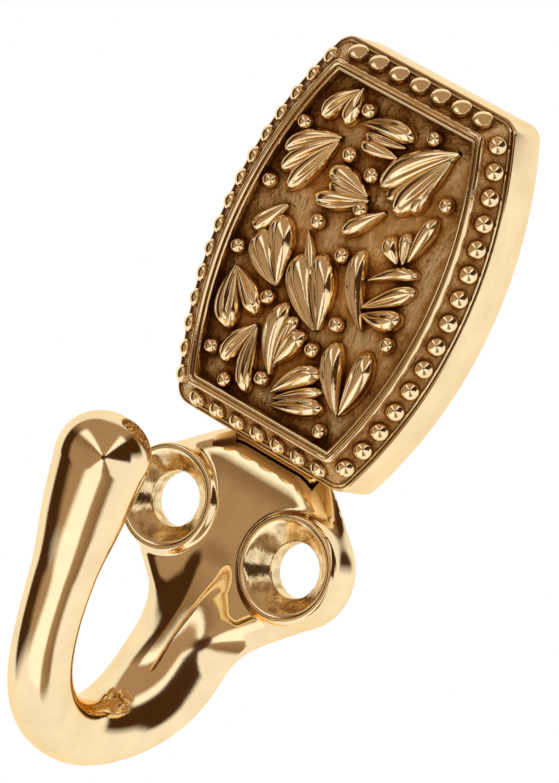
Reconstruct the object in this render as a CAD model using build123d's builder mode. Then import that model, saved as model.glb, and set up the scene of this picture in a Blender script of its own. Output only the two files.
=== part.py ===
from build123d import *
import os
from math import atan2, cos, degrees, hypot, radians, sin

os.makedirs("parts", exist_ok=True)

# A small wall hook: a polished cast hook with two countersunk screw holes, and a cast
# ornament above it with a beaded border and a panel of leaves.
# Millimetres. X is to the right, Z up, and the wall is the plane y = 0, so the front faces -Y.
# The origin lies on the wall, midway between the two screw holes.

# base plate of the hook
hole_spacing = 15.0
bore_d = 5.3
sink_d = 9.4
sink_angle = 90
boss_d = 10.5
boss_height = 4.3
boss_edge = 0.35
web_height = 3.2
plate_edge = 2.2
foot_width = 9.6
foot_drop = 11.0
foot_round = 2.5
neck_width = 11.4
neck_gap = 0.3

# tongue that goes up behind the ornament
tongue_width = 10.6
tongue_height = 2.6
tongue_end = 24.0

# arm: points of its centre line, and its width and depth at stations along that line
hook_reach = 29.6
hook_drop = 21.2
low_point = 13.3
tip_rise = 5.5
arm_start = 4.0
arm_start_rise = 1.5
ankle_drop = 10.4
ankle_rise = 2.3
heel_drop = 15.9
heel_reach = 4.2
bend_in = 6.8
bend_up = 4.4
shank_in = 2.1
shank_below = 10.6
tip_lean = 0.15
start_width = 7.0
start_depth = 3.0
ankle_width = 9.2
ankle_depth = 5.2
heel_width = 9.6
heel_depth = 6.2
throat_width = 7.0
throat_depth = 6.4
arm_width = 5.8
arm_depth = 5.6
shank_width = 6.0
shank_depth = 5.8
neck_d = 7.4
bulb_d = 8.6
roundness = 0.97
arm_sections = 26

# ornament
plaque_height = 38.2
plaque_width = 29.0
plaque_end_width = 20.4
plaque_foot = 9.0
plaque_wall = 5.0
plaque_corner = 1.9
lip = 0.35
border = 2.25
border_rise = 1.9
rail_height = 7.4
rail_width = 1.05
rail_bevel = 0.25
rail_corner = 0.3
panel_floor = 6.1
end_beads = 7
side_beads = 15
end_bead_pitch = 2.5
side_bead_pitch = 2.42
border_bead_d = 1.9
border_bead_height = 0.85
panel_bead_d = 1.55
panel_bead_height = 1.2
bead_root = 0.4
leaf_height = 1.4
fill_height = 1.0
leaf_fullness = 1.3
leaf_root = 0.3

# fixing screw, from the wall side
screw_up = 17.0
screw_d = 4.0
screw_head_d = 7.4
screw_length = 5.0
screw_below = 0.15
slot_width = 1.0
slot_depth = 0.9
thread_play = 0.05
tip_play = 0.3
seat_play = 0.15

plaque_mid = plaque_foot + plaque_height / 2
hole_x = hole_spacing / 2


def size_at(along, stations):
    """Size at a place along the arm, on a smooth curve through the given stations."""
    for i in range(len(stations) - 1):
        t0, a = stations[i]
        t1, b = stations[i + 1]
        if along <= t1:
            break
    tp, p = stations[max(i - 1, 0)]
    tn, n = stations[min(i + 2, len(stations) - 1)]
    f = (along - t0) / (t1 - t0)
    slope_a = (b - p) / (t1 - tp) * (t1 - t0)
    slope_b = (n - a) / (tn - t0) * (t1 - t0)
    rise = f * f * (3 - 2 * f)
    return a + (b - a) * rise + slope_a * f * (1 - f) ** 2 - slope_b * f * f * (1 - f)


# the hook, one casting: plate, bosses, tongue and arm
with BuildPart() as hook:
    with BuildSketch(Plane.XZ) as plate_outline:
        with BuildLine():
            CenterArc((-hole_x, 0), boss_d / 2, 0, 360)
            CenterArc((hole_x, 0), boss_d / 2, 0, 360)
            Line((-neck_width / 2, plaque_foot - neck_gap), (neck_width / 2, plaque_foot - neck_gap))
            Line((-foot_width / 2, -foot_drop), (foot_width / 2, -foot_drop))
        make_hull()
        fillet(plate_outline.vertices().group_by(Axis.Y)[0], foot_round)
    extrude(amount=web_height)
    fillet(hook.faces().sort_by(Axis.Y)[0].edges(), plate_edge)
    with BuildSketch(Plane.XZ):
        with Locations((-hole_x, 0), (hole_x, 0)):
            Circle(boss_d / 2 - boss_edge)
    extrude(amount=boss_height)
    chamfer(hook.faces().sort_by(Axis.Y)[:2].edges(), boss_edge)
    with BuildSketch(Plane.XZ):
        with Locations((0, tongue_end / 2)):
            Rectangle(tongue_width, tongue_end)
    extrude(amount=tongue_height)
    with BuildLine() as arm_line:
        Spline(
            (0, -arm_start_rise, -arm_start),
            (0, -ankle_rise, -ankle_drop),
            (0, -heel_reach, -heel_drop),
            (0, -low_point, -hook_drop),
            (0, bend_in - hook_reach, bend_up - hook_drop),
            (0, shank_in - hook_reach, tip_rise - shank_below),
            (0, -hook_reach, tip_rise),
            tangents=((0, 0, -1), (0, -tip_lean, 1)),
        )
    arm_path = arm_line.edges()[0]
    widths = (
        (0, start_width),
        (0.11, ankle_width),
        (0.21, heel_width),
        (0.41, throat_width),
        (0.64, arm_width),
        (0.8, shank_width),
        (0.9, neck_d),
        (1, bulb_d),
    )
    depths = (
        (0, start_depth),
        (0.11, ankle_depth),
        (0.21, heel_depth),
        (0.41, throat_depth),
        (0.64, arm_depth),
        (0.8, shank_depth),
        (0.9, neck_d),
        (1, bulb_d),
    )
    for step in range(arm_sections + 1):
        along = step / arm_sections
        across = size_at(along, widths)
        through = min(size_at(along, depths), across * roundness)
        with BuildSketch(Plane(origin=arm_path @ along, x_dir=(1, 0, 0), z_dir=arm_path % along)):
            Ellipse(across / 2, through / 2)
    for cap_angle in (18, 36, 53, 68, 80, 87):
        cap_at = arm_path @ 1 + (arm_path % 1) * (bulb_d / 2 * sin(radians(cap_angle)))
        cap_size = bulb_d * cos(radians(cap_angle))
        with BuildSketch(Plane(origin=cap_at, x_dir=(1, 0, 0), z_dir=arm_path % 1)):
            Ellipse(cap_size / 2, cap_size * roundness / 2)
    loft(ruled=True)
    split(bisect_by=Plane.XZ, keep=Keep.TOP)
    with Locations(Plane.XZ.offset(boss_height)):
        with Locations((-hole_x, 0), (hole_x, 0)):
            CounterSinkHole(bore_d / 2, sink_d / 2, boss_height * 2, sink_angle)
    with Locations(Plane(origin=(0, 0, screw_up), x_dir=(1, 0, 0), z_dir=(0, 1, 0))):
        CounterSinkHole(screw_d / 2 + thread_play, screw_head_d / 2 + screw_below, tongue_height, 90)
hook.part.label = "hook"
export_step(hook.part, "parts/hook.step")


def bowed_outline(inset):
    """Outline of the ornament, drawn in by the given amount, with square corners."""
    half_w = plaque_width / 2
    half_e = plaque_end_width / 2
    half_h = plaque_height / 2
    with BuildSketch(mode=Mode.PRIVATE) as outline:
        with BuildLine():
            Line((-half_e, half_h), (half_e, half_h))
            ThreePointArc((half_e, half_h), (half_w, 0), (half_e, -half_h))
            Line((half_e, -half_h), (-half_e, -half_h))
            ThreePointArc((-half_e, -half_h), (-half_w, 0), (-half_e, half_h))
        make_face()
        if inset > 0:
            offset(amount=-inset, kind=Kind.INTERSECTION, mode=Mode.REPLACE)
    return outline.sketch


def front(height):
    """Plane facing forward at a height above the wall, centred on the ornament."""
    return Plane(origin=(0, -height, plaque_mid), x_dir=(1, 0, 0), z_dir=(0, -1, 0))


def on_border(x, z, out_x, out_z):
    """Plane for a bead at a place on the sloping border, with the border's outward direction."""
    lean = atan2(border_rise, border - lip)
    outward = Vector(out_x * sin(lean), -cos(lean), out_z * sin(lean))
    place = Vector(x, -plaque_wall - border_rise / 2, plaque_mid + z)
    return Location(Plane(origin=place, x_dir=(out_z, 0, -out_x), z_dir=outward))


# one bead of the border and one of the panel, eight-sided with a sloping crown
with BuildPart() as border_bead:
    with BuildSketch(Plane.XY.offset(-bead_root)):
        RegularPolygon(border_bead_d / 2, 8)
    extrude(amount=bead_root + border_bead_height * 0.55)
    extrude(border_bead.faces().sort_by(Axis.Z)[-1], amount=border_bead_height * 0.45, taper=42)

with BuildPart() as panel_bead:
    with BuildSketch(Plane.XY.offset(-bead_root)):
        RegularPolygon(panel_bead_d / 2, 8)
    extrude(amount=bead_root + panel_bead_height * 0.6)
    extrude(panel_bead.faces().sort_by(Axis.Z)[-1], amount=panel_bead_height * 0.4, taper=42)

# leaf lobes on the panel: narrow tip (x, z), round end (x, z) and width, from the panel's middle
lobes = (
    (-5.4, 15.1, -8.0, 11.0, 1.4),
    (-5.1, 15.4, -5.2, 11.4, 1.3),
    (-5.0, 10.4, -10.3, 6.7, 1.4),
    (-5.1, 10.1, -9.8, 4.9, 1.4),
    (-5.1, 9.9, -8.2, 3.6, 1.5),
    (-3.5, 12.5, 2.2, 13.5, 1.5),
    (1.5, 11.1, -3.1, 10.7, 1.1),
    (7.0, 14.3, 0.7, 8.0, 1.9),
    (6.6, 13.3, 3.2, 6.4, 1.9),
    (6.0, 10.2, 5.1, 7.2, 1.0),
    (0.2, 6.7, -4.8, 7.3, 1.6),
    (0.5, 6.4, -5.2, 4.2, 1.4),
    (2.6, 6.2, -0.9, 2.4, 1.2),
    (-4.6, -4.8, -8.8, -0.8, 2.1),
    (-4.7, -4.6, -7.3, 1.4, 2.0),
    (-9.5, -5.0, -7.5, -10.8, 1.9),
    (-9.3, -5.1, -5.2, -8.2, 1.5),
    (1.1, -6.7, -4.0, -1.1, 2.1),
    (1.4, -6.5, -1.8, 0.0, 1.8),
    (5.5, -4.5, 2.0, 2.2, 1.5),
    (4.0, -0.1, 8.7, 2.6, 1.0),
    (4.9, -3.2, 9.1, -1.8, 1.5),
    (6.0, 2.5, 4.0, 4.5, 1.3),
    (7.0, 3.2, 7.8, 8.1, 1.2),
    (-1.3, -12.4, -2.9, -5.5, 1.5),
    (-1.3, -11.3, 0.2, -7.2, 1.4),
    (-4.8, -8.9, -6.6, -13.7, 1.5),
    (-4.6, -9.1, -2.9, -15.3, 1.4),
    (-0.3, -13.7, 3.7, -9.7, 1.5),
    (0.1, -14.9, 5.5, -12.7, 1.4),
    (7.1, -12.6, 3.6, -6.5, 1.7),
    (7.3, -12.4, 7.4, -5.9, 1.7),
)

# low lobes that fill the middle of a fan, measured like the others
fills = (
    (1.6, 12.3, -3.1, 11.6, 0.9),
    (6.8, 13.9, 1.8, 7.2, 1.5),
    (0.3, 6.5, -4.4, 5.9, 1.1),
    (-7.3, 2.4, -9.9, -1.3, 1.3),
    (-4.1, 1.2, -1.4, -2.9, 0.9),
    (4.5, -2.6, 9.0, 1.2, 1.3),
    (6.5, 2.7, 5.6, 5.6, 1.1),
    (-1.4, -11.7, -1.4, -6.3, 1.2),
    (0.0, -14.2, 4.6, -11.3, 0.9),
)

# each lobe is a leaf outline raised in two sloping steps
leaf_shapes = []
for tip_x, tip_z, end_x, end_z, lobe_width in lobes + fills:
    lobe_height = leaf_height if len(leaf_shapes) < len(lobes) else fill_height
    lobe_length = hypot(end_x - tip_x, end_z - tip_z)
    lobe_turn = degrees(atan2(end_z - tip_z, end_x - tip_x))
    half = lobe_width * leaf_fullness / 2
    with BuildPart() as lobe:
        with BuildSketch(Plane.XY.offset(-leaf_root)):
            with Locations(Location((tip_x, tip_z), lobe_turn)):
                Polygon(
                    (0, -half * 0.15),
                    (lobe_length * 0.66, -half),
                    (lobe_length * 0.92, -half * 0.72),
                    (lobe_length, 0),
                    (lobe_length * 0.92, half * 0.72),
                    (lobe_length * 0.66, half),
                    (0, half * 0.15),
                    align=None,
                )
        lower = leaf_root + lobe_height * 0.5
        extrude(amount=lower, taper=degrees(atan2(half * 0.12, lower)))
        upper = lobe_height * 0.5
        extrude(lobe.faces().sort_by(Axis.Z)[-1], amount=upper, taper=degrees(atan2(half * 0.5, upper)))
    leaf_shapes.append(lobe.part)

# beads on the border: a row along each end and an arc along each bowed side
border_line = (lip + border) / 2
bow = (plaque_width - plaque_end_width) / 2
bow_radius = ((plaque_height / 2) ** 2 + bow**2) / (2 * bow)
bow_centre = plaque_width / 2 - bow_radius
end_z = plaque_height / 2 - border_line
bead_places = []
for i in range(end_beads):
    bead_x = (i - (end_beads - 1) / 2) * end_bead_pitch
    bead_places.append(on_border(bead_x, end_z, 0, 1))
    bead_places.append(on_border(bead_x, -end_z, 0, -1))
for i in range(side_beads):
    turn = (i - (side_beads - 1) / 2) * side_bead_pitch / (bow_radius - border_line)
    bead_x = bow_centre + (bow_radius - border_line) * cos(turn)
    bead_z = (bow_radius - border_line) * sin(turn)
    bead_places.append(on_border(bead_x, bead_z, cos(turn), sin(turn)))
    bead_places.append(on_border(-bead_x, bead_z, -cos(turn), sin(turn)))

# single beads between the leaves, from the panel's middle
panel_beads = (
    (-9.3, 10.0),
    (-3.5, 13.8),
    (4.0, 14.4),
    (-10.1, 3.6),
    (-3.4, 9.3),
    (-0.4, 8.6),
    (8.2, 9.5),
    (0.1, 5.3),
    (-3.5, 2.4),
    (-10.2, -3.3),
    (0.4, 0.7),
    (-4.9, -6.1),
    (3.0, -5.2),
    (-8.2, -12.8),
    (1.8, -8.4),
    (8.8, -4.5),
    (-5.4, -15.0),
    (-1.8, -13.1),
    (6.2, -14.7),
)

rim_outline = bowed_outline(0)
foot_outline = bowed_outline(lip)
rail_outline = bowed_outline(border)
panel_outline = bowed_outline(border + rail_width)

# the ornament, one casting
with BuildPart() as plaque:
    with BuildSketch(front(0)) as rim_sketch:
        add(rim_outline)
        fillet(rim_sketch.vertices(), plaque_corner)
    extrude(amount=plaque_wall)
    with BuildSketch(front(plaque_wall)) as foot_sketch:
        add(foot_outline)
        fillet(foot_sketch.vertices(), plaque_corner - lip)
    with BuildSketch(front(plaque_wall + border_rise)) as top_sketch:
        add(rail_outline)
        fillet(top_sketch.vertices(), rail_corner)
    loft(ruled=True)
    with BuildSketch(front(plaque_wall + border_rise)) as rail_sketch:
        add(rail_outline)
        fillet(rail_sketch.vertices(), rail_corner)
    extrude(amount=rail_height - plaque_wall - border_rise)
    chamfer(plaque.faces().sort_by(Axis.Y)[0].edges(), rail_bevel)
    with BuildSketch(front(rail_height)):
        add(panel_outline)
    extrude(amount=panel_floor - rail_height, mode=Mode.SUBTRACT)
    rail_top = plaque.faces().filter_by(Axis.Y).sort_by(Axis.Y)[0]
    chamfer(rail_top.inner_wires()[0].edges(), rail_bevel)
    with Locations(front(panel_floor)):
        add(leaf_shapes)
    with Locations(*bead_places):
        add(border_bead.part)
    with Locations(front(panel_floor)):
        with Locations(*panel_beads):
            add(panel_bead.part)
    with BuildSketch(Plane.XZ):
        with Locations((0, (plaque_foot + tongue_end + seat_play) / 2)):
            Rectangle(tongue_width + 2 * seat_play, tongue_end + seat_play - plaque_foot)
    extrude(amount=tongue_height, mode=Mode.SUBTRACT)
    with Locations(Plane(origin=(0, 0, screw_up), x_dir=(1, 0, 0), z_dir=(0, 1, 0))):
        Hole(screw_d / 2 + thread_play, screw_below + screw_length + tip_play)
plaque.part.label = "plaque"
export_step(plaque.part, "parts/plaque.step")

# the fixing screw, its head flush in the back of the tongue
with BuildPart() as fixing_screw:
    head_cone = (screw_head_d - screw_d) / 2
    with Locations(Plane(origin=(0, -screw_below, screw_up), x_dir=(1, 0, 0), z_dir=(0, -1, 0))):
        Cylinder(screw_d / 2, screw_length, align=(Align.CENTER, Align.CENTER, Align.MIN))
        Cone(screw_head_d / 2, screw_d / 2, head_cone, align=(Align.CENTER, Align.CENTER, Align.MIN))
        Box(
            screw_head_d,
            slot_width,
            slot_depth,
            align=(Align.CENTER, Align.CENTER, Align.MIN),
            mode=Mode.SUBTRACT,
        )
fixing_screw.part.label = "fixing_screw"
export_step(fixing_screw.part, "parts/fixing_screw.step")
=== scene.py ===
from math import atan2, cos, hypot, pi, radians, sin, sqrt

import bmesh
import bpy
import numpy as np
from mathutils import Matrix, Vector


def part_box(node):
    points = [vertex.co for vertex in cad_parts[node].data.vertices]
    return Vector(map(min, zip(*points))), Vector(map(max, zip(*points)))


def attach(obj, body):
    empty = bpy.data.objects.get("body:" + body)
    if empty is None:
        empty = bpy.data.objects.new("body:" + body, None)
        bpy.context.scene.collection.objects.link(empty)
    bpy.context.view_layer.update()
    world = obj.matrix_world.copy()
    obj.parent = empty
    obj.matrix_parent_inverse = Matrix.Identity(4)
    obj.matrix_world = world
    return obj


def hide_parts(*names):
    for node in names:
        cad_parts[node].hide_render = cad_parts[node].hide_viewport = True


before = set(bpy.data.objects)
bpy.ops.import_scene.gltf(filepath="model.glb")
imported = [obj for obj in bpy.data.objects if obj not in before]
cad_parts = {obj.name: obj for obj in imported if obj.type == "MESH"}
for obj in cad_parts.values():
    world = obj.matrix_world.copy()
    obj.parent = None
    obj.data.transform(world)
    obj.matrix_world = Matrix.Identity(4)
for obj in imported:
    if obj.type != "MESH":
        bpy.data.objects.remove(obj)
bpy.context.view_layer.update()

MM = 0.001

# sizes are in millimetres, and h is the height above the wall, so y = -h

# base plate: a hull round circles (x, z, radius), listed for its right half
hole_x = 7.5
plate_half = (
    (hole_x, 0, 5.5),
    (3.2, 7.6, 2.9),
    (2.3, -8.5, 2.9),
)
plate_circles = [(side * x, z, r) for x, z, r in plate_half for side in (-1, 1)]
plate_round = 3.2
plate_top = 8.96
web_height = 3.2
shoulder_start = 3.3
shoulder_fall = 0.061

# bosses and their countersunk holes
bore_r = 2.65
sink_r = 4.7
sink_edge = 0.35
boss_r = 5.25
boss_height = 3.9
boss_edge = 0.8
boss_blend = 0.6

# arm: its centre line (h, z) with the directions at both ends, and its section at fractions of its length
arm_points = (
    (1.6, -4.0),
    (2.6, -10.4),
    (4.3, -15.9),
    (13.3, -21.2),
    (22.8, -16.8),
    (27.5, -5.1),
    (29.6, 5.5),
)
arm_start_way = (0, -1)
arm_end_way = (0.15, 1)
arm_stations = (0, 0.11, 0.21, 0.41, 0.64, 0.8, 0.9, 1)
arm_widths = (7.0, 9.2, 9.6, 7.0, 5.8, 6.0, 7.4, 8.6)
arm_depths = (3.0, 5.2, 6.2, 6.4, 5.6, 5.8, 7.4, 8.6)
arm_narrowing = (0.55, 0.55, 0.4, 0.15, 0, 0, 0, 0)
narrowing_limit = 0.6
section_power = 2.2
arm_blend = 2.2

# tongue behind the ornament, thin where it leaves the plate
tongue_half = 5.3
tongue_height = 2.6
tongue_start = 9.2
tongue_end = 24.0
tongue_root = 1.0
neck_height = 0.9

# mesh of the hook's skin: its grid, the steps of its curves, and how its points are drawn onto the form
grid_step = 0.2
grid_margin = 0.6
path_count = 1000
hull_turns = 240
evening_turns = 3
draw_turns = 2
probe = 0.02
least_slope = 0.05
tiny = 1e-6

# ornament: bowed body, sloping border, rail and sunk panel
plaque_height = 38.2
plaque_width = 29.0
plaque_end_width = 20.4
plaque_foot = 9.0
plaque_mid = plaque_foot + plaque_height / 2
plaque_wall = 5.0
plaque_corner = 1.9
plaque_crease_degrees = 25
lip = 0.35
border = 2.25
border_rise = 1.9
rail_height = 7.4
rail_width = 1.05
rail_round = 0.36
panel_floor = 6.1
side_points = 25
corner_points = 9
end_points = 9
moulding_points = 9
bow = (plaque_width - plaque_end_width) / 2
bow_radius = ((plaque_height / 2) ** 2 + bow**2) / (2 * bow)
bow_centre = plaque_width / 2 - bow_radius

# beads on the border and the panel; a crown is the angle, in degrees, at which a bead's round top ends
end_beads = 7
side_beads = 15
end_bead_pitch = 2.5
side_bead_pitch = 2.42
top_bead_d = 1.9
top_bead_height = 0.8
top_bead_crown = 30
side_bead_d = 1.75
side_bead_height = 0.85
side_bead_crown = 62
bead_root = 0.4
bead_edge = 0.05
panel_bead_d = 1.55
panel_bead_lift = 0.45
panel_bead_start_degrees = -50
bead_segments = 24
crown_points = 9
ball_points = 13

# leaf lobes: mesh rows and columns, then sizes, with crests that grow with a lobe's width
lobe_rows = 36
lobe_columns = 31
leaf_root = 0.04
crest_base = 0.85
crest_gain = 0.42
crest_most = 1.55
fill_crest = 1.0
grooved_from = 1.35

# leaf lobes: shares of their length, width and height, and roundness, a power
leaf_fullness = 1.5
widest = 0.66
tip_width = 0.16
tip_height = 0.45
roundness = 0.9
groove_depth = 0.34
groove_width = 0.17
groove_start = 0.15
groove_end = 0.92
groove_fade = 0.4
lobe_grooves = (0.35,)
fill_grooves = (-0.3,)

# fixing screw and its seats
screw_up = 17.0
screw_d = 4.0
screw_head_d = 7.4
screw_length = 5.0
screw_below = 0.15
screw_edge = 0.05
screw_point = 0.3
screw_play = 0.12
screw_crease_degrees = 30
tip_play = 0.3
slot_width = 1.0
slot_depth = 0.9
seat_play = 0.15
turned_segments = 48

# how far a cutter reaches past what it cuts
cut_past = 2.0

# floor
floor_radius = 80
floor_z = -150
floor_corners = 48

# colours of the metals, and the shares of a tone kept by its stains inside the holes and by the painted
# shade on the ornament's wall
hook_tone = (0.96, 0.76, 0.46)
plaque_tone = (0.97, 0.76, 0.46)
wall_tone = (0.96, 0.75, 0.45)
plating_tint = (1.0, 0.86, 0.62, 1)
painted_shade_shares = (0.48, 0.38, 0.26)
hole_shares = (0.55, 0.46, 0.34)

# noise of the cast grain: scale, detail and roughness
fine_grain = (2600.0, 3.0, 0.6)

# tones of the studio
white = (1.0, 1.0, 1.0)
bright = (1.2, 1.2, 1.2)
tan = (0.41, 0.285, 0.18)
deep = (0.26, 0.16, 0.085)
dark = (0.06, 0.025, 0.008)

# meshes and pieces


def new_mesh(name, points, faces):
    """Mesh from points in millimetres (x, h, z), with its faces turned outwards."""
    points = np.asarray(points, float)
    mesh = bpy.data.meshes.new(name)
    places = np.column_stack([points[:, 0], -points[:, 1], points[:, 2]]) * MM
    mesh.from_pydata(places.tolist(), [], [list(map(int, f)) for f in faces])
    shape = bmesh.new()
    shape.from_mesh(mesh)
    bmesh.ops.recalc_face_normals(shape, faces=shape.faces)
    shape.to_mesh(mesh)
    shape.free()
    return mesh


def make_object(name, points, faces, slot, node, material):
    """Smooth-shaded piece that rides on the frame in place of one node."""
    mesh = new_mesh(name, points, faces)
    mesh.polygons.foreach_set("use_smooth", np.ones(len(mesh.polygons), bool))
    piece = bpy.data.objects.new(name, mesh)
    bpy.context.collection.objects.link(piece)
    mesh.materials.append(material)
    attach(piece, "root")
    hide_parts(node)
    return piece


def split_sharp(piece, degrees):
    """Creases stay crisp where faces meet at more than the given degrees."""
    mesh = piece.data
    shape = bmesh.new()
    shape.from_mesh(mesh)
    for edge in shape.edges:
        if len(edge.link_faces) == 2 and edge.calc_face_angle(0) > radians(degrees):
            edge.smooth = False
    shape.to_mesh(mesh)
    shape.free()


def cut_away(piece, form):
    """Cuts a closed form out of a piece."""
    cutter = bpy.data.objects.new("cutter", new_mesh("cutter", *form))
    bpy.context.collection.objects.link(cutter)
    cut = piece.modifiers.new("cut", "BOOLEAN")
    cut.object = cutter
    cut.solver = "EXACT"
    bpy.context.view_layer.update()
    seen = piece.evaluated_get(bpy.context.evaluated_depsgraph_get())
    result = bpy.data.meshes.new_from_object(seen)
    piece.modifiers.clear()
    piece.data = result
    bpy.data.objects.remove(cutter)


def box_form(low, high):
    """Points and faces of a box between two corners."""
    points = [(x, h, z) for x in (low[0], high[0]) for h in (low[1], high[1]) for z in (low[2], high[2])]
    faces = [(0, 1, 3, 2), (4, 5, 7, 6), (0, 1, 5, 4), (2, 3, 7, 6), (0, 2, 6, 4), (1, 3, 7, 5)]
    return points, faces


def bands(rows, ring):
    """Quads between neighbouring closed rings of points."""
    faces = []
    for start in range(0, (rows - 1) * ring, ring):
        for i in range(ring):
            j = (i + 1) % ring
            faces.append((start + i, start + j, start + ring + j, start + ring + i))
    return faces


def lathe(profile, segments):
    """Points and faces of a turned form from (radius, height) steps that end on the axis."""
    turns = np.linspace(0, 2 * pi, segments, endpoint=False)
    points = [(radius * cos(a), radius * sin(a), height) for radius, height in profile[:-1] for a in turns]
    faces = bands(len(profile) - 1, segments)
    top = len(points)
    last = top - segments
    points.append((0, 0, profile[-1][1]))
    faces += [(last + i, last + (i + 1) % segments, top) for i in range(segments)]
    return np.array(points), faces


def turned_solid(profile, segments):
    """A turned form with its first ring closed too."""
    points, faces = lathe(profile, segments)
    return points, faces + [tuple(range(segments))]


def place_all(form, places):
    """Copies of one form at places given as (origin, x, y, z directions) in (x, h, z)."""
    points, faces = form
    all_points = []
    all_faces = []
    for origin, across, up, out in places:
        start = len(all_points) * len(points)
        all_points.append(np.array(origin) + points @ np.array([across, up, out]))
        all_faces += [tuple(start + i for i in face) for face in faces]
    return np.concatenate(all_points), all_faces


def facing_out(x, h, z):
    """Place whose axis points straight away from the wall."""
    return (x, h, z), (1, 0, 0), (0, 0, 1), (0, 1, 0)


# the hook's form: the zero level of distances that are blended softly


def smooth_min(a, b, blend):
    """The smaller of two distances, with a soft fillet where they are close."""
    part = np.clip(0.5 + 0.5 * (b - a) / blend, 0, 1)
    return b + (a - b) * part - blend * part * (1 - part)


def smooth_max(a, b, blend):
    """The larger of two distances, with a soft round where they are close."""
    return -smooth_min(-a, -b, blend)


def spline_through(points, start, end, count):
    """Points at even steps along a smooth curve with given directions at its ends."""
    p = np.array(points, float)
    gaps = np.linalg.norm(np.diff(p, axis=0), axis=1)
    knots = np.concatenate([[0], np.cumsum(gaps)])
    last = len(p) - 1
    lhs = np.eye(len(p))
    rhs = np.zeros_like(p)
    rhs[0] = np.array(start) / np.linalg.norm(start)
    rhs[last] = np.array(end) / np.linalg.norm(end)
    for i in range(1, last):
        before, after = gaps[i - 1], gaps[i]
        lhs[i, i - 1 : i + 2] = after, 2 * (before + after), before
        rhs[i] = 3 * (after * (p[i] - p[i - 1]) / before + before * (p[i + 1] - p[i]) / after)
    slopes = np.linalg.solve(lhs, rhs)
    at = np.linspace(0, knots[-1], 4 * count)
    i = np.clip(np.searchsorted(knots, at, "right") - 1, 0, last - 1)
    f = ((at - knots[i]) / gaps[i])[:, None]
    gap = gaps[i][:, None]
    fine = p[i] * (1 + 2 * f) * (1 - f) ** 2 + slopes[i] * gap * f * (1 - f) ** 2
    fine += p[i + 1] * f**2 * (3 - 2 * f) + slopes[i + 1] * gap * f**2 * (f - 1)
    run = np.concatenate([[0], np.cumsum(np.linalg.norm(np.diff(fine, axis=0), axis=1))])
    even = np.linspace(0, run[-1], count)
    return np.column_stack([np.interp(even, run, fine[:, 0]), np.interp(even, run, fine[:, 1])])


def size_along(along, sizes):
    """Size along the arm, on a smooth curve through its stations."""
    t = np.array(arm_stations, float)
    s = np.array(sizes, float)
    first = (s[1] - s[0]) / (t[1] - t[0])
    last = (s[-1] - s[-2]) / (t[-1] - t[-2])
    slopes = np.concatenate([[first], (s[2:] - s[:-2]) / (t[2:] - t[:-2]), [last]])
    i = np.clip(np.searchsorted(t, along, "right") - 1, 0, len(t) - 2)
    gap = t[i + 1] - t[i]
    f = (along - t[i]) / gap
    curve = s[i] * (1 + 2 * f) * (1 - f) ** 2 + slopes[i] * gap * f * (1 - f) ** 2
    return curve + s[i + 1] * f**2 * (3 - 2 * f) + slopes[i + 1] * gap * f**2 * (f - 1)


path = spline_through(arm_points, arm_start_way, arm_end_way, path_count)
path_step = np.linalg.norm(path[1] - path[0])
path_way = np.gradient(path, axis=0)
path_way /= np.linalg.norm(path_way, axis=1)[:, None]


def arm_place(h, z):
    """Place beside the arm's centre line: fraction along it, offset from it, and run past its ends."""
    h, z = np.broadcast_arrays(h, z)
    places = np.stack([h.ravel(), z.ravel()], 1)
    flat = places.astype(np.float32)
    line = path.astype(np.float32)
    near = np.empty(len(flat), int)
    batch = 8000
    for i in range(0, len(flat), batch):
        some = flat[i : i + batch]
        gap = (some[:, :1] - line[:, 0]) ** 2 + (some[:, 1:] - line[:, 1]) ** 2
        near[i : i + batch] = gap.argmin(1)
    away = places - path[near]
    ahead = (away * path_way[near]).sum(1)
    aside = away[:, 0] * path_way[near, 1] - away[:, 1] * path_way[near, 0]
    along = near + ahead / path_step
    past = np.maximum(along - (len(path) - 1), 0) + np.maximum(-along, 0)
    along = np.clip(along / (len(path) - 1), 0, 1)
    return along.reshape(h.shape), aside.reshape(h.shape), (past * path_step).reshape(h.shape)


def hull_distance(x, z):
    """Distance to the plate's outline, a hull round its circles."""
    distance = -np.inf
    for turn in np.linspace(0, 2 * pi, hull_turns, endpoint=False):
        a, b = cos(turn), sin(turn)
        reach = max(cx * a + cz * b + r for cx, cz, r in plate_circles)
        distance = np.maximum(distance, x * a + z * b - reach)
    return distance


def plate_distance(x, h, z):
    """Distance to the base plate, which falls towards the ornament, with its bosses and holes."""
    shoulder = web_height - shoulder_fall * np.maximum(z - shoulder_start, 0) ** 2
    plate = smooth_max(hull_distance(x, z), h - shoulder, plate_round)
    plate = np.maximum(plate, z - plate_top)
    for side in (-hole_x, hole_x):
        boss = smooth_max(np.hypot(x - side, z) - boss_r, h - boss_height, boss_edge)
        plate = smooth_min(plate, boss, boss_blend)
    for side in (-hole_x, hole_x):
        radius = np.hypot(x - side, z)
        sink = (radius - sink_r + boss_height - h) / sqrt(2)
        plate = smooth_max(plate, -np.minimum(radius - bore_r, sink), sink_edge)
    return plate


def arm_distance(x, h, z):
    """Distance to the arm, which ends in a rounded bulb."""
    along, aside, past = arm_place(h, z)
    half_d = size_along(along, arm_depths) / 2
    v, w = aside / half_d, past / half_d
    narrowing = 1 + size_along(along, arm_narrowing) * np.clip(v, -1, narrowing_limit)
    half_w = size_along(along, arm_widths) / 2 * narrowing
    u = x / half_w
    size = np.sqrt(u**2 + v**2 + w**2)
    power = section_power
    size_p = (np.abs(u) ** power + np.abs(v) ** power + np.abs(w) ** power) ** (1 / power)
    slope = np.sqrt((u / half_w) ** 2 + (v / half_d) ** 2 + (w / half_d) ** 2) + tiny
    return (size_p - 1) * (size + tiny) / slope


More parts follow.
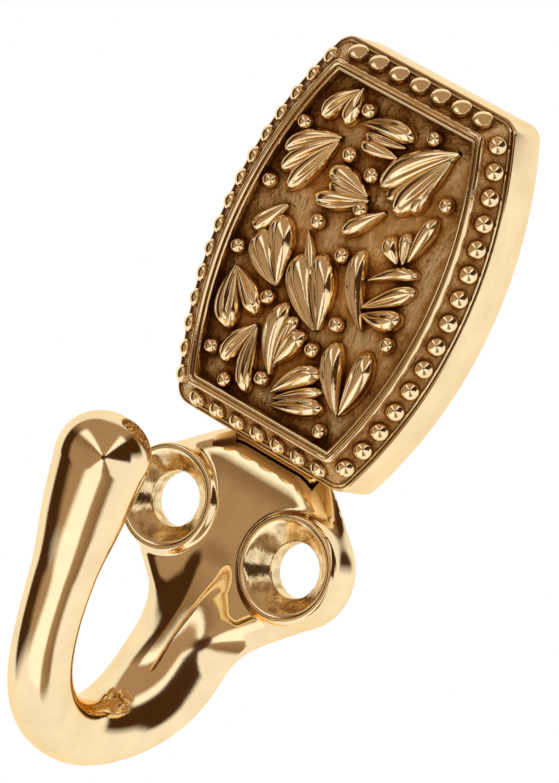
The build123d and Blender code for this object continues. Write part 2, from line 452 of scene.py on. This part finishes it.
def tongue_distance(x, h, z):
    """Distance to the tongue and its thin neck."""
    thick = np.where(z < tongue_start, neck_height, tongue_height)
    tongue = np.maximum(np.abs(x) - tongue_half, h - thick)
    return np.maximum(tongue, np.maximum(z - tongue_end, plate_top - tongue_root - z))


def hook_distance(x, h, z):
    """Distance to the hook's surface, negative inside it."""
    body = smooth_min(plate_distance(x, h, z), arm_distance(x, h, z), arm_blend)
    body = np.minimum(body, tongue_distance(x, h, z))
    radius = np.hypot(x, z - screw_up)
    seat = (radius - screw_head_d / 2 - screw_play + h - screw_below) / sqrt(2)
    body = np.maximum(body, -np.minimum(radius - screw_d / 2 - screw_play, seat))
    return np.maximum(body, -h)


def drawn_onto(points):
    """Points moved along the slope of the distance, onto its zero level."""
    for turn in range(draw_turns):
        x, h, z = points.T
        value = hook_distance(x, h, z)
        slope = np.stack([
            hook_distance(x + probe, h, z) - value,
            hook_distance(x, h + probe, z) - value,
            hook_distance(x, h, z + probe) - value,
        ], 1) / probe
        steep = np.maximum((slope**2).sum(1), least_slope)
        move = slope * (value / steep)[:, None]
        points = points - np.clip(move, -grid_step, grid_step)
    return points


def evened(points, quads):
    """Points moved halfway to the middle of their neighbours."""
    total = np.zeros_like(points)
    count = np.zeros(len(points))
    for a, b in ((0, 1), (1, 2), (2, 3), (3, 0)):
        np.add.at(total, quads[:, a], points[quads[:, b]])
        np.add.at(count, quads[:, a], 1)
        np.add.at(total, quads[:, b], points[quads[:, a]])
        np.add.at(count, quads[:, b], 1)
    return 0.5 * points + 0.5 * total / count[:, None]


def skin(low, high, step):
    """Quads over the zero level of the hook's distance, and points drawn onto that level."""
    axes = [np.arange(a, b + step, step) for a, b in zip(low, high)]
    x, h, z = np.meshgrid(*axes, indexing="ij", sparse=True)
    inside = hook_distance(x, h, z) < 0
    cells = np.zeros(np.array(inside.shape) - 1, np.int8)
    for i in (0, 1):
        for j in (0, 1):
            for k in (0, 1):
                cells += inside[i : i + cells.shape[0], j : j + cells.shape[1], k : k + cells.shape[2]]
    crossed = (cells > 0) & (cells < 8)
    index = np.full(cells.shape, -1)
    index[crossed] = np.arange(crossed.sum())
    points = np.array(low) + (np.argwhere(crossed) + 0.5) * step
    quads = []
    for axis in range(3):
        side = np.moveaxis(inside, axis, 0)
        ids = np.moveaxis(index, axis, 0)
        i, j, k = np.nonzero(side[:-1, 1:-1, 1:-1] != side[1:, 1:-1, 1:-1])
        quads.append(np.stack([ids[i, j, k], ids[i, j + 1, k], ids[i, j + 1, k + 1], ids[i, j, k + 1]], 1))
    quads = np.concatenate(quads)
    for turn in range(evening_turns):
        points = evened(drawn_onto(points), quads)
    return drawn_onto(points), quads


# materials


def node_maker(tree):
    """Short way to add a node with its inputs set."""

    def add(kind, inputs=None, **settings):
        node = tree.nodes.new("ShaderNode" + kind)
        for name, value in settings.items():
            setattr(node, name, value)
        for name, value in (inputs or {}).items():
            socket = node.inputs[name]
            if isinstance(value, bpy.types.NodeSocket):
                tree.links.new(value, socket)
            else:
                socket.default_value = value
        return node

    return add


def new_material(name):
    """Empty material, the maker of its nodes, and the place on the piece."""
    material = bpy.data.materials.new(name)
    material.use_nodes = True
    material.node_tree.nodes.clear()
    add = node_maker(material.node_tree)
    return material, add, add("TexCoord").outputs["Object"]


def calc(add, operation, *values):
    """Result of one sum on values or sockets."""
    return add("Math", dict(enumerate(values)), operation=operation).outputs[0]


def span(add, value, low, high, to_low=0.0, to_high=1.0):
    """A value's place between low and high, as a place between two other limits."""
    limits = {"From Min": low, "From Max": high, "To Min": to_low, "To Max": to_high}
    return add("MapRange", {"Value": value, **limits}).outputs["Result"]


def noise(add, place, scale, detail=2.0, roughness=0.5):
    """Soft noise over a piece."""
    inputs = {"Vector": place, "Scale": scale, "Detail": detail, "Roughness": roughness}
    return add("TexNoise", inputs).outputs["Fac"]


def openness(add, distance):
    """One in the open, less where other surfaces stand within the distance in millimetres."""
    return add("AmbientOcclusion", {"Distance": distance * MM}, samples=12).outputs["AO"]


def ramp(add, factor, stops):
    """Colour ramp with the given (place, colour) stops."""
    node = add("ValToRGB", {"Fac": factor})
    band = node.color_ramp.elements
    while len(band) < len(stops):
        band.new(0.5)
    for element, (place, colour) in zip(band, stops):
        element.position = place
        element.color = (*colour, 1)
    return node.outputs["Color"]


def mix(add, factor, a, b):
    """Colour between a and b, each a colour or a socket."""
    node = add("Mix", {"Factor": factor}, data_type="RGBA")
    sockets = [s for s in node.inputs if s.type == "RGBA"]
    for socket, value in zip(sockets, (a, b)):
        if isinstance(value, bpy.types.NodeSocket):
            node.id_data.links.new(value, socket)
        else:
            socket.default_value = (*value, 1)
    return [s for s in node.outputs if s.type == "RGBA"][0]


def stain_and_shade(tone, shares):
    """A tone with a share of each of its colours kept, for stains and for painted shade."""
    return tuple(c * share for c, share in zip(tone, shares))


def bumps(add, height, strength, distance, **under):
    """Normal of a surface with fine bumps, as tall as the distance in millimetres."""
    inputs = {"Height": height, "Strength": strength, "Distance": distance * MM, **under}
    return add("Bump", inputs).outputs["Normal"]


def inside_holes(add, place):
    """One inside the two screw holes and their countersinks, zero on the polished skin and the back."""
    parts = add("SeparateXYZ", {"Vector": place}).outputs
    from_hole = calc(add, "SUBTRACT", calc(add, "ABSOLUTE", parts["X"]), hole_x * MM)
    flat = add("CombineXYZ", {"X": from_hole, "Z": parts["Z"]}).outputs["Vector"]
    radius = add("VectorMath", {0: flat}, operation="LENGTH").outputs["Value"]
    rim_outside, rim_inside = sink_r - 0.25, sink_r - 0.5
    within = span(add, radius, rim_outside * MM, rim_inside * MM)
    above_rim, at_rim = -boss_height - 1, -boss_height
    below_rim = span(add, parts["Y"], above_rim * MM, at_rim * MM)
    at_back, inside_back = -0.1, -0.5
    off_back = span(add, parts["Y"], at_back * MM, inside_back * MM)
    return calc(add, "MULTIPLY", within, calc(add, "MULTIPLY", below_rim, off_back))


def patina_layer(add, place, tone, dull, finish):
    """Brown patina in the ornament's recesses."""
    grain = noise(add, place, *fine_grain)
    open_part = calc(add, "ADD", openness(add, 0.9), calc(add, "MULTIPLY", grain, 0.35))
    mask = span(add, open_part, 0.38, 0.84)
    brown = ramp(add, grain, ((0.3, (0.15, 0.052, 0.008)), (0.7, (0.32, 0.145, 0.035))))
    colour = mix(add, mask, brown, finish["Base Color"])
    return {"Base Color": colour, "Roughness": span(add, mask, 0, 1, 0.42, dull)}


def crevice_shade_layer(add, place, tone, dull, finish):
    """Painted shade: a duller, darker brown where the ornament's wall stands close to the plate."""
    # painted shade: the wall's tone is darkened, and its finish dulled, where the plate stands within 4 mm
    mask = span(add, openness(add, 4.0), 0.5, 0.9)
    colour = mix(add, mask, stain_and_shade(tone, painted_shade_shares), finish["Base Color"])
    return {"Base Color": colour, "Roughness": span(add, mask, 0, 1, 0.30, dull)}


def holes_layer(add, place, tone, dull, finish):
    """Pitted metal with stains inside the screw holes."""
    cast = inside_holes(add, place)
    pits = noise(add, place, 900.0, 4.0, 0.6)
    stain = ramp(add, pits, ((0.38, stain_and_shade(tone, hole_shares)), (0.60, tone)))
    return {
        "Base Color": mix(add, cast, finish["Base Color"], stain),
        "Roughness": calc(add, "MULTIPLY_ADD", cast, 0.06, finish["Roughness"]),
        "Normal": bumps(add, calc(add, "MULTIPLY", pits, cast), 0.35, 0.12, Normal=finish["Normal"]),
    }


def gold_material(name, tone, dull, layer, grain_strength=0.05):
    """Polished gold plating under one layer, which is stain, pitting or patina on most pieces and painted
    shade on the ornament's wall.
    """
    material, add, place = new_material(name)
    cloud = noise(add, place, 260.0, 4.0, 0.55)
    soft = tuple(c * 0.94 for c in tone)
    clear = tuple(min(c * 1.04, 1.0) for c in tone)
    finish = {
        "Base Color": ramp(add, cloud, ((0.35, soft), (0.65, clear))),
        "Roughness": span(add, cloud, 0.3, 0.7, dull * 0.7, dull * 1.3),
        "Normal": bumps(add, noise(add, place, *fine_grain), grain_strength, 0.04),
    }
    finish.update(layer(add, place, tone, dull, finish))
    shader = add("BsdfPrincipled", {"Metallic": 1.0, "Specular Tint": plating_tint, **finish})
    add("OutputMaterial", {"Surface": shader.outputs["BSDF"]})
    return material


def ground_material():
    """Brown patina over a cast ground, dark beside the carving and worn to gold in the open."""
    material, add, place = new_material("patina_ground")
    blotch = noise(add, place, 640.0, 6.0, 0.66)
    open_part = calc(add, "ADD", openness(add, 1.6), calc(add, "MULTIPLY", blotch, 0.7))
    mask = span(add, open_part, 0.84, 1.40)
    colour = ramp(add, mask, (
        (0.05, (0.16, 0.050, 0.005)),
        (0.36, (0.50, 0.22, 0.050)),
        (0.58, (0.78, 0.45, 0.15)),
        (0.80, (0.98, 0.73, 0.39)),
    ))
    swell = calc(add, "ADD", calc(add, "MULTIPLY", blotch, 3.0), noise(add, place, *fine_grain))
    shader = add("BsdfPrincipled", {
        "Metallic": 0.95,
        "Base Color": colour,
        "Roughness": span(add, mask, 0, 1, 0.30, 0.09),
        "Normal": bumps(add, swell, 1.0, 0.34),
    })
    add("OutputMaterial", {"Surface": shader.outputs["BSDF"]})
    return material


def steel_material():
    """Plain steel for the fixing screw."""
    material, add, place = new_material("screw_steel")
    cloud = noise(add, place, 1400.0)
    colour = ramp(add, cloud, ((0.3, (0.42, 0.41, 0.39)), (0.7, (0.62, 0.61, 0.58))))
    shader = add("BsdfPrincipled", {"Metallic": 1.0, "Roughness": 0.32, "Base Color": colour})
    add("OutputMaterial", {"Surface": shader.outputs["BSDF"]})
    return material


hook_gold = gold_material("hook_gold", hook_tone, 0.08, holes_layer)
plaque_gold = gold_material("plaque_gold", plaque_tone, 0.08, patina_layer, grain_strength=0.25)
ground_brown = ground_material()
# the wall's gold has painted shade where the plate stands close
wall_gold = gold_material("wall_gold", wall_tone, 0.10, crevice_shade_layer)
screw_steel = steel_material()

# the hook, one smooth casting
hook_low, hook_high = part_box("hook")
low = (hook_low.x / MM - grid_margin, -hook_high.y / MM - grid_margin, hook_low.z / MM - grid_margin)
high = (hook_high.x / MM + grid_margin, -hook_low.y / MM + grid_margin, hook_high.z / MM + grid_margin)
hook_points, hook_quads = skin(low, high, grid_step)
make_object("hook_casting", hook_points, hook_quads, "hook_gold", "hook", hook_gold)

# the ornament's body: a stack of outlines from the wall up to the rail and down to the panel


def outline(inset, corner):
    """Bowed outline drawn in by inset, its corners rounded, as (x, z) from the ornament's middle."""
    half = plaque_height / 2 - inset
    radius = bow_radius - inset
    round_z = half - corner
    round_x = bow_centre + sqrt((radius - corner) ** 2 - round_z**2)
    tilt = atan2(round_z, round_x - bow_centre)
    side_turns = np.linspace(0, tilt, side_points)[:-1]
    corner_turns = np.linspace(tilt, pi / 2, corner_points)
    quarter = [(bow_centre + radius * cos(a), radius * sin(a)) for a in side_turns]
    quarter += [(round_x + corner * cos(a), round_z + corner * sin(a)) for a in corner_turns]
    quarter += [(x, half) for x in np.linspace(round_x, 0, end_points)[1:]]
    upper = quarter + [(-x, z) for x, z in reversed(quarter[:-1])]
    return upper + [(x, -z) for x, z in reversed(upper[1:-1])]


def moulding(inset, width, height, corner):
    """Steps over a round moulding that lies along the rail."""
    foot = rail_height - rail_round
    return [(inset + width * (1 + cos(a)) / 2, foot + height * sin(a), corner - width * (1 + cos(a)) / 4)
            for a in np.linspace(pi, 0, moulding_points)]


# steps are (inset, h, corner); the lip's give h from the wall's top and how much sharper the corner is
wall_steps = (
    (0.25, 0.0, plaque_corner),
    (0.0, 0.25, plaque_corner),
    (0.0, plaque_wall - 0.22, plaque_corner),
    (0.03, plaque_wall - 0.08, plaque_corner),
    (0.10, plaque_wall - 0.01, plaque_corner),
    (0.20, plaque_wall, plaque_corner),
)
lip_steps = (
    (0.26, -0.14, 0.2),
    (0.32, -0.14, 0.2),
    (0.36, 0.06, 0.3),
    (0.42, 0.14, 0.35),
    (0.52, 0.16, 0.4),
    (0.60, 0.08, 0.5),
)
# mouldings of the rail: inset, width, height and corner
outer_rail = (border, 0.60, rail_round, 0.8)
inner_rail = (border + 0.68, 0.34, 0.2, 0.3)
rail_in = border + rail_width
body_steps = (
    *wall_steps,
    *((inset, plaque_wall + rise, plaque_corner - sharper) for inset, rise, sharper in lip_steps),
    (border - 0.12, plaque_wall + border_rise - 0.25, 0.9),
    *moulding(*outer_rail),
    *moulding(*inner_rail),
    (rail_in, rail_height - 0.5, 0.1),
    (rail_in, panel_floor, 0.1),
)
wall_bands = len(wall_steps) - 1
slope_band = wall_bands + len(lip_steps)
ground_bands = (slope_band, slope_band + 1, len(body_steps) - 2)

body_points = [(x, h, plaque_mid + z) for inset, h, corner in body_steps for x, z in outline(inset, corner)]
ring = len(body_points) // len(body_steps)
body_faces = bands(len(body_steps), ring)
back_face = len(body_faces)
panel_face = back_face + 1
body_faces.append(tuple(range(ring)))
body_faces.append(tuple(range(len(body_points) - ring, len(body_points))))
body = make_object("plaque_body", body_points, body_faces, "plaque_gold", "plaque", plaque_gold)
body.data.materials.append(wall_gold)
body.data.materials.append(ground_brown)
for i, face in enumerate(body.data.polygons):
    band = i // ring
    if band < wall_bands or i == back_face:
        face.material_index = 1
    elif band in ground_bands or i == panel_face:
        face.material_index = 2

# the tongue's slot and the fixing screw's hole in its back
slot_half = tongue_half + seat_play
cut_away(body, box_form((-slot_half, -cut_past, plaque_foot - cut_past),
                        (slot_half, tongue_height + screw_play, tongue_end + seat_play)))
screw_places = [facing_out(0, 0, screw_up)]
hole_r = screw_d / 2 + screw_play
hole_end = screw_below + screw_length + tip_play
hole_profile = [(hole_r, -cut_past), (hole_r, hole_end), (0, hole_end)]
cut_away(body, place_all(turned_solid(hole_profile, turned_segments), screw_places))
split_sharp(body, plaque_crease_degrees)

# beads: domes on the border, spheres on the panel


def border_place(x, z, out_x, out_z):
    """Place and directions for a bead on the sloping border."""
    lean = atan2(border_rise, border - lip)
    out = (out_x * sin(lean), cos(lean), out_z * sin(lean))
    across = (out_z, 0, -out_x)
    return (x, plaque_wall + border_rise / 2, plaque_mid + z), across, np.cross(out, across), out


def bead(size, height, crown):
    """Turned bead with straight sides and a round top that ends at the crown's angle."""
    reach = radians(crown)
    cap_r = size / 2 / sin(reach)
    side = height - cap_r * (1 - cos(reach))
    crown_turns = np.linspace(reach, 0, crown_points)
    steps = [(size / 2 - bead_edge, -bead_root), (size / 2, side - bead_edge)]
    steps += [(cap_r * sin(a), side + cap_r * (cos(a) - cos(reach))) for a in crown_turns]
    return lathe(steps, bead_segments)


border_line = (lip + border) / 2
end_z = plaque_height / 2 - border_line
side_r = bow_radius - border_line
top_places = []
border_places = []
for i in range(end_beads):
    bead_x = (i - (end_beads - 1) / 2) * end_bead_pitch
    top_places.append(border_place(bead_x, end_z, 0, 1))
    border_places.append(border_place(bead_x, -end_z, 0, -1))
for i in range(side_beads):
    turn = (i - (side_beads - 1) / 2) * side_bead_pitch / side_r
    bead_x = bow_centre + side_r * cos(turn)
    bead_z = side_r * sin(turn)
    border_places.append(border_place(bead_x, bead_z, cos(turn), sin(turn)))
    border_places.append(border_place(-bead_x, bead_z, -cos(turn), sin(turn)))
top_bead = bead(top_bead_d, top_bead_height, top_bead_crown)
side_bead = bead(side_bead_d, side_bead_height, side_bead_crown)
make_object("top_beads", *place_all(top_bead, top_places), "plaque_gold", "plaque", plaque_gold)
make_object("border_beads", *place_all(side_bead, border_places), "plaque_gold", "plaque", plaque_gold)

# places (x, z) of the panel's beads from its middle
panel_beads = (
    (-9.3, 10.0),
    (-3.5, 13.8),
    (4.0, 14.4),
    (-10.1, 3.6),
    (-3.4, 9.3),
    (-0.4, 8.6),
    (8.2, 9.5),
    (0.1, 5.3),
    (-3.5, 2.4),
    (-10.2, -3.3),
    (0.4, 0.7),
    (-4.9, -6.1),
    (3.0, -5.2),
    (-8.2, -12.8),
    (1.8, -8.4),
    (8.8, -4.5),
    (-5.4, -15.0),
    (-1.8, -13.1),
    (6.2, -14.7),
)
panel_r = panel_bead_d / 2
ball_turns = np.linspace(radians(panel_bead_start_degrees), pi / 2, ball_points)
ball = lathe([(panel_r * cos(a), panel_bead_lift + panel_r * sin(a)) for a in ball_turns], bead_segments)
panel_places = [facing_out(x, panel_floor, plaque_mid + z) for x, z in panel_beads]
make_object("panel_beads", *place_all(ball, panel_places), "plaque_gold", "plaque", plaque_gold)

# leaf lobes on the panel: narrow tip (x, z), round end (x, z) and width, from the panel's middle,
# and how far the lobe bows to the left of its line
lobes = (
    (-5.4, 15.1, -8.0, 11.0, 1.4, -0.3),
    (-5.1, 15.4, -5.2, 11.4, 1.3, 0),
    (-5.0, 10.4, -10.3, 6.7, 1.4, -0.5),
    (-5.1, 10.1, -9.8, 4.9, 1.4, -0.2),
    (-5.1, 9.9, -8.2, 3.6, 1.5, 0),
    (-3.5, 12.5, 2.2, 13.5, 1.5, 0.4),
    (1.5, 11.1, -3.1, 10.7, 1.1, 0),
    (7.0, 14.3, 0.7, 8.0, 1.9, -0.6),
    (6.6, 13.3, 3.2, 6.4, 1.9, 0),
    (6.0, 10.2, 5.1, 7.2, 1.0, 0),
    (0.2, 6.7, -4.8, 7.3, 1.6, -0.2),
    (0.5, 6.4, -5.2, 4.2, 1.4, 0.2),
    (2.6, 6.2, -0.9, 2.4, 1.2, 0),
    (-4.6, -4.8, -8.8, -0.8, 2.1, 0.5),
    (-4.7, -4.6, -7.3, 1.4, 2.0, 0),
    (-9.5, -5.0, -7.5, -10.8, 1.9, -0.4),
    (-9.3, -5.1, -5.2, -8.2, 1.5, 0.2),
    (1.1, -6.7, -4.0, -1.1, 2.1, 0.5),
    (1.4, -6.5, -1.8, 0.0, 1.8, -0.4),
    (5.5, -4.5, 2.0, 2.2, 1.5, 0.7),
    (4.0, -0.1, 8.7, 2.6, 1.0, 0.3),
    (4.9, -3.2, 9.1, -1.8, 1.5, -0.3),
    (6.0, 2.5, 4.0, 4.5, 1.3, 0.2),
    (7.0, 3.2, 7.8, 8.1, 1.2, 0),
    (-1.3, -12.4, -2.9, -5.5, 1.5, 0.7),
    (-1.3, -11.3, 0.2, -7.2, 1.4, 0),
    (-4.8, -8.9, -6.6, -13.7, 1.5, -0.3),
    (-4.6, -9.1, -2.9, -15.3, 1.4, -0.4),
    (-0.3, -13.7, 3.7, -9.7, 1.5, 0.3),
    (0.1, -14.9, 5.5, -12.7, 1.4, 0),
    (7.1, -12.6, 3.6, -6.5, 1.7, 0.5),
    (7.3, -12.4, 7.4, -5.9, 1.7, -0.3),
)
# lower lobes between them
fills = (
    (1.6, 12.3, -3.1, 11.6, 0.9, 0),
    (6.8, 13.9, 1.8, 7.2, 1.5, -0.2),
    (0.3, 6.5, -4.4, 5.9, 1.1, 0),
    (-7.3, 2.4, -9.9, -1.3, 1.3, 0),
    (-4.1, 1.2, -1.4, -2.9, 0.9, 0),
    (4.5, -2.6, 9.0, 1.2, 1.3, 0),
    (6.5, 2.7, 5.6, 5.6, 1.1, 0),
    (-1.4, -11.7, -1.4, -6.3, 1.2, 0.3),
    (0.0, -14.2, 4.6, -11.3, 0.9, 0),
)


def lobe_points(tip_x, tip_z, end_x, end_z, width, bow_left, crest, grooves):
    """A swelling lobe with a round end, and grooves that run from its tip and fade as it swells."""
    length = hypot(end_x - tip_x, end_z - tip_z)
    way = np.array([end_x - tip_x, end_z - tip_z]) / length
    side = np.array([-way[1], way[0]])
    u = (1 - np.cos(np.linspace(0, pi, lobe_rows))) / 2
    v = np.sin(np.linspace(-pi / 2, pi / 2, lobe_columns))
    swell = np.sin(np.clip(u / widest, 0, 1) * pi / 2)
    rounding = np.sqrt(1 - np.clip((u - widest) / (1 - widest), 0, 1) ** 2)
    half = leaf_fullness * width / 2 * (tip_width + (1 - tip_width) * swell**roundness) * rounding
    lift = crest * (tip_height + (1 - tip_height) * swell) * rounding
    section = np.sqrt(np.maximum(1 - v**2, 0)) ** roundness
    fade = np.clip((groove_end - u) / groove_fade, 0, 1)
    depth = groove_depth * fade * np.clip(u / groove_start, 0, 1)
    cut = sum((np.exp(-(((v - g) / groove_width) ** 2)) for g in grooves), np.zeros_like(v))
    height = lift[:, None] * section[None] * (1 - depth[:, None] * cut[None])
    bowed = 4 * bow_left * u * (1 - u)
    across = bowed[:, None] + half[:, None] * v[None]
    x = tip_x + way[0] * u[:, None] * length + side[0] * across
    z = tip_z + way[1] * u[:, None] * length + side[1] * across
    return np.stack([x, panel_floor - leaf_root + height, plaque_mid + z], 2).reshape(-1, 3)


leaf_points = []
for lobe in lobes:
    lobe_width = lobe[4]
    lobe_crest = min(crest_base + crest_gain * lobe_width, crest_most)
    leaf_points.append(lobe_points(*lobe, lobe_crest, lobe_grooves if lobe_width > grooved_from else ()))
for fill in fills:
    leaf_points.append(lobe_points(*fill, fill_crest, fill_grooves))
leaf_faces = []
for number in range(len(leaf_points)):
    for i in range(lobe_rows - 1):
        for j in range(lobe_columns - 1):
            a = (number * lobe_rows + i) * lobe_columns + j
            leaf_faces.append((a, a + 1, a + lobe_columns + 1, a + lobe_columns))
make_object("leaves", np.concatenate(leaf_points), leaf_faces, "plaque_gold", "plaque", plaque_gold)

# the fixing screw in the back of the tongue
screw_end = screw_below + screw_length
screw_profile = [
    (screw_head_d / 2 - screw_edge, screw_below),
    (screw_head_d / 2, screw_below + screw_edge),
    (screw_d / 2, screw_below + (screw_head_d - screw_d) / 2),
    (screw_d / 2, screw_end - screw_point),
    (screw_d / 2 - screw_point, screw_end),
    (0, screw_end),
]
screw_form = place_all(turned_solid(screw_profile, turned_segments), screw_places)
screw = make_object("fixing_screw_turned", *screw_form, "screw_steel", "fixing_screw", screw_steel)
cut_away(screw, box_form((-screw_head_d, -cut_past, screw_up - slot_width / 2),
                         (screw_head_d, screw_below + slot_depth, screw_up + slot_width / 2)))
split_sharp(screw, screw_crease_degrees)

# camera, as the photograph was taken: a long lens, above and to the right, rolled over
sensor_width = 36
photo_width = 559
focal_pixels = 6000
camera_data = bpy.data.cameras.new("camera")
camera_data.sensor_fit = "HORIZONTAL"
camera_data.sensor_width = sensor_width
camera_data.lens = sensor_width * focal_pixels / photo_width
camera = bpy.data.objects.new("camera", camera_data)
bpy.context.collection.objects.link(camera)
right = Vector((0.752, 0.508, 0.420)).normalized()
toward = Vector((0.491, -0.857, 0.157)).normalized()
up = toward.cross(right).normalized()
right = up.cross(toward)
eye = Vector((0.2745, -0.4848, 0.1024))
camera.matrix_world = Matrix((
    (right.x, up.x, toward.x, eye.x),
    (right.y, up.y, toward.y, eye.y),
    (right.z, up.z, toward.z, eye.z),
    (0, 0, 0, 1),
))
bpy.context.scene.camera = camera

# panels of the studio round the lens: degrees from the camera's right towards its top, and tone
near_panels = (
    (-180, tan),
    (-152, tan),
    (-142, bright),
    (-100, bright),
    (-92, tan),
    (-66, deep),
    (-58, white),
    (-16, white),
    (-9, dark),
    (34, dark),
    (40, bright),
    (48, bright),
    (56, tan),
    (112, tan),
    (119, bright),
    (128, bright),
    (137, deep),
    (165, tan),
    (180, tan),
)
far_panels = (
    (-180, dark),
    (-160, dark),
    (-148, white),
    (-6, white),
    (8, dark),
    (34, dark),
    (46, tan),
    (120, tan),
    (140, dark),
    (180, dark),
)
# degrees off the lens at which the near panels, the far panels and the white behind begin and are full
near_edge = (5, 8)
far_edge = (76, 84)
back_edge = (108, 118)


def studio():
    """White surroundings for the camera; reflections see panels set round the lens, white behind."""
    world = bpy.data.worlds.new("studio")
    bpy.context.scene.world = world
    world.use_nodes = True
    world.node_tree.nodes.clear()
    add = node_maker(world.node_tree)
    way = add("TexCoord").outputs["Generated"]

    def part(axis):
        return add("VectorMath", {0: way, 1: tuple(axis)}, operation="DOT_PRODUCT").outputs["Value"]

    def panel_ring(panels):
        return ramp(add, round_way, [(degrees / 360 + 0.5, tone) for degrees, tone in panels])

    def beyond(edge):
        return span(add, off_axis, edge[0] / 180, edge[1] / 180)

    round_way = span(add, calc(add, "ARCTAN2", part(up), part(right)), -pi, pi)
    off_axis = calc(add, "DIVIDE", calc(add, "ARCCOSINE", part(toward)), pi)
    to_back = beyond(back_edge)
    rings = mix(add, beyond(far_edge), panel_ring(near_panels), panel_ring(far_panels))
    panels = mix(add, beyond(near_edge), dark, mix(add, to_back, rings, white))
    rays = add("LightPath").outputs
    seen = calc(add, "MAXIMUM", rays["Is Camera Ray"], rays["Is Transmission Ray"])
    seen = calc(add, "MAXIMUM", seen, calc(add, "MULTIPLY", rays["Is Glossy Ray"], to_back))
    light = add("Background", {"Color": mix(add, seen, panels, white), "Strength": 1.0})
    add("OutputWorld", {"Surface": light.outputs["Background"]})


studio()


def pale_floor():
    """Small pale floor well below the hook, white to the camera like the surroundings."""
    material, add, place = new_material("pale_floor")
    paint = ramp(add, noise(add, place, 30.0), ((0.3, (0.80, 0.79, 0.78)), (0.7, (0.84, 0.83, 0.82))))
    matt = add("BsdfDiffuse", {"Color": paint})
    glow = add("Emission", {"Color": (*white, 1), "Strength": 1.0})
    rays = add("LightPath").outputs
    seen = calc(add, "MAXIMUM", rays["Is Camera Ray"], rays["Is Glossy Ray"])
    both = add("MixShader", {0: seen, 1: matt.outputs[0], 2: glow.outputs[0]})
    add("OutputMaterial", {"Surface": both.outputs[0]})
    mesh = bpy.data.meshes.new("floor")
    turns = np.linspace(0, 2 * pi, floor_corners, endpoint=False)
    corners = [(floor_radius * MM * cos(a), floor_radius * MM * sin(a), floor_z * MM) for a in turns]
    mesh.from_pydata(corners, [], [list(range(floor_corners))])
    mesh.materials.append(material)
    floor = bpy.data.objects.new("floor", mesh)
    bpy.context.collection.objects.link(floor)


pale_floor()

scene = bpy.context.scene
scene.view_settings.view_transform = "Standard"
